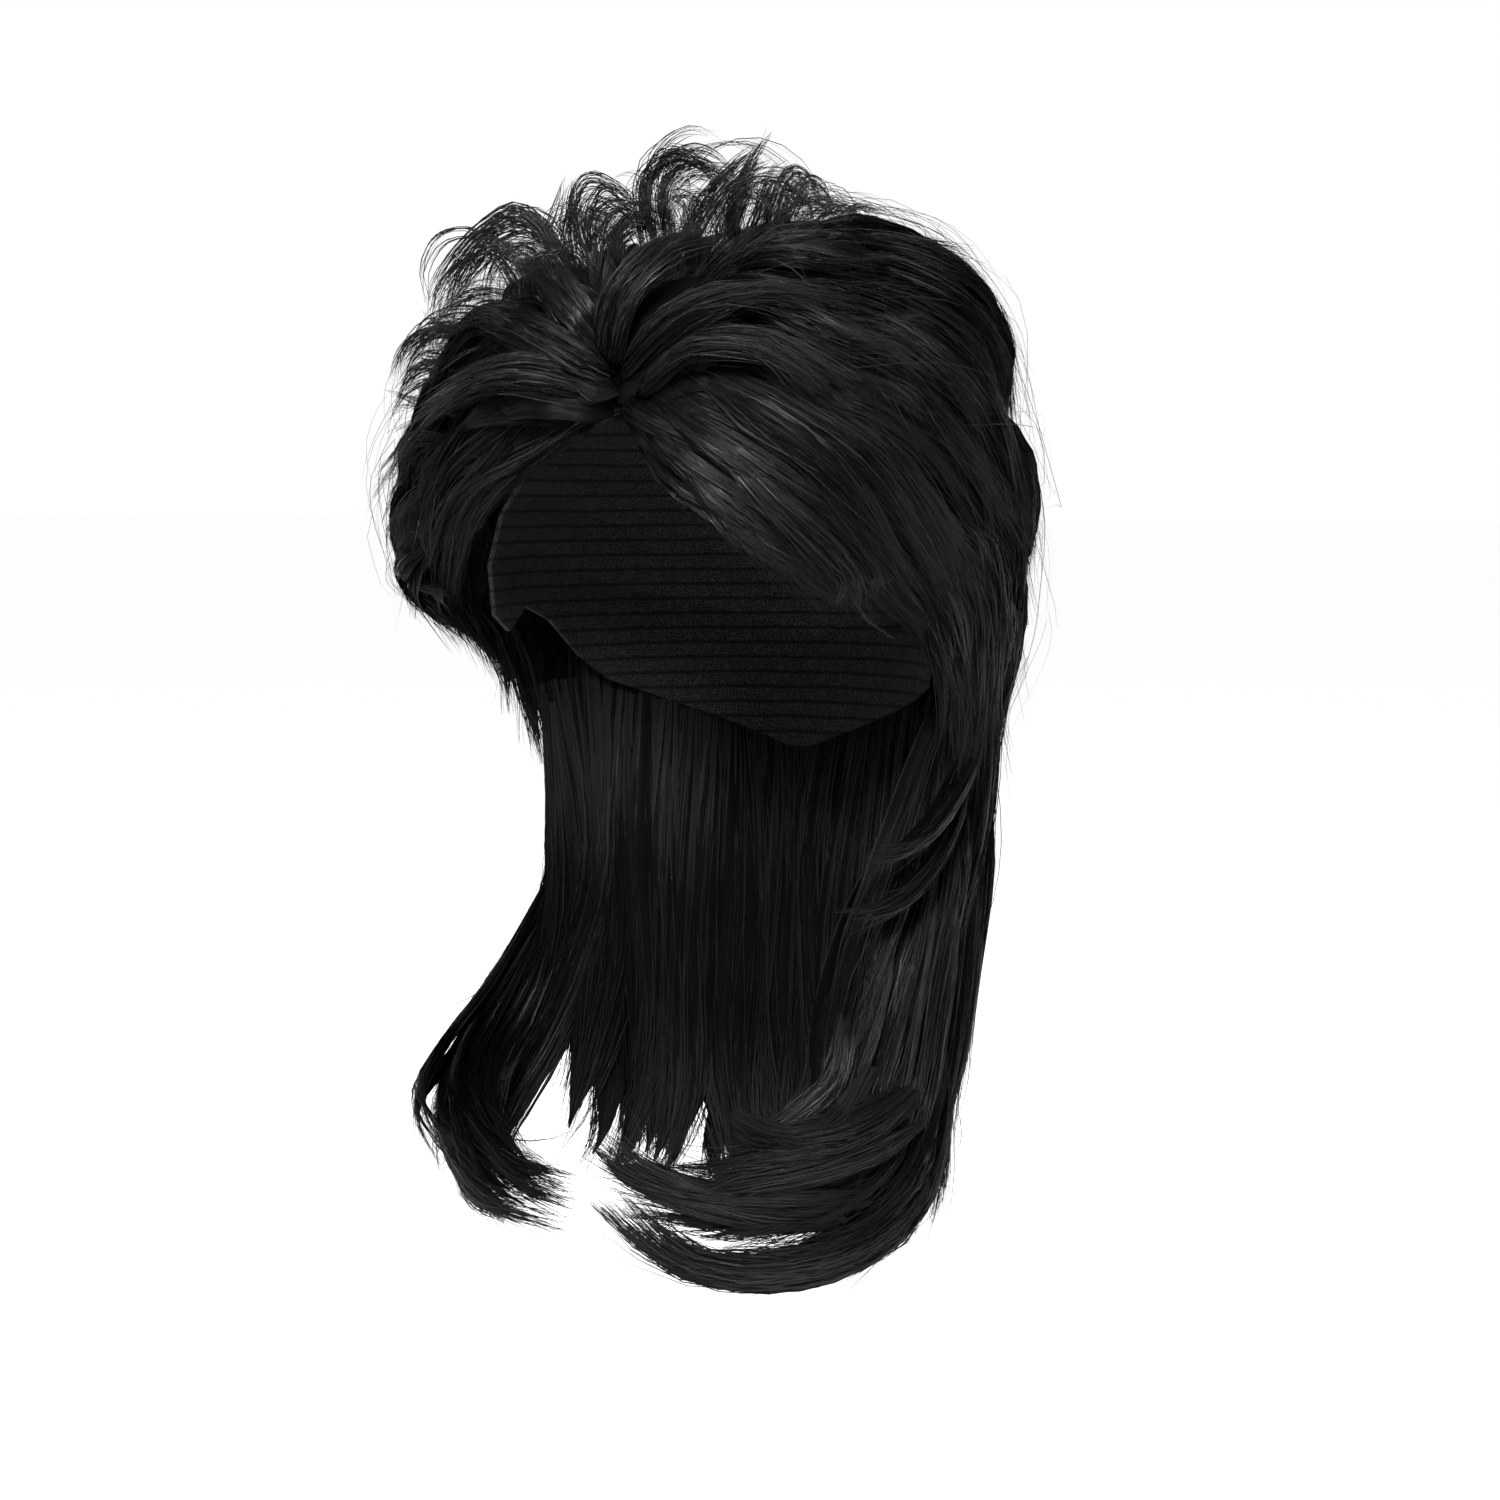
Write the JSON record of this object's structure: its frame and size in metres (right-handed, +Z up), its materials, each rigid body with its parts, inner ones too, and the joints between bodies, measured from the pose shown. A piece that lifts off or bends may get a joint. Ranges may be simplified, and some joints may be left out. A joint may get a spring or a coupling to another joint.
{
  "type": "mullet wig",
  "caption": "Dark feathered mullet wig: swept side fringe, full layered crown and a long tail curling forward round the neck, on an open fitted cap.",
  "frame": {"origin": "highest point of the head inside the cap, where the wig sits on the head", "axes": "+Z up when worn, -Y towards the face, +X towards the wearer's left ear"},
  "size_m": [0.2425, 0.2327, 0.3957],
  "materials": {
    "fibre": "soft sheen of synthetic hair fibre, off-black with a warm brown cast in the thin tips",
    "net": "matt black stretch net with sewn wefts"
  },
  "bodies": {
    "root": {"cap": "net", "crown_hair": "fibre", "fringe_left": "fibre", "fringe_right": "fibre", "side_left": "fibre", "side_right": "fibre", "back_hair": "fibre", "tail_left": "fibre", "tail_right": "fibre", "tail_back": "fibre"}
  },
  "joints": []
}
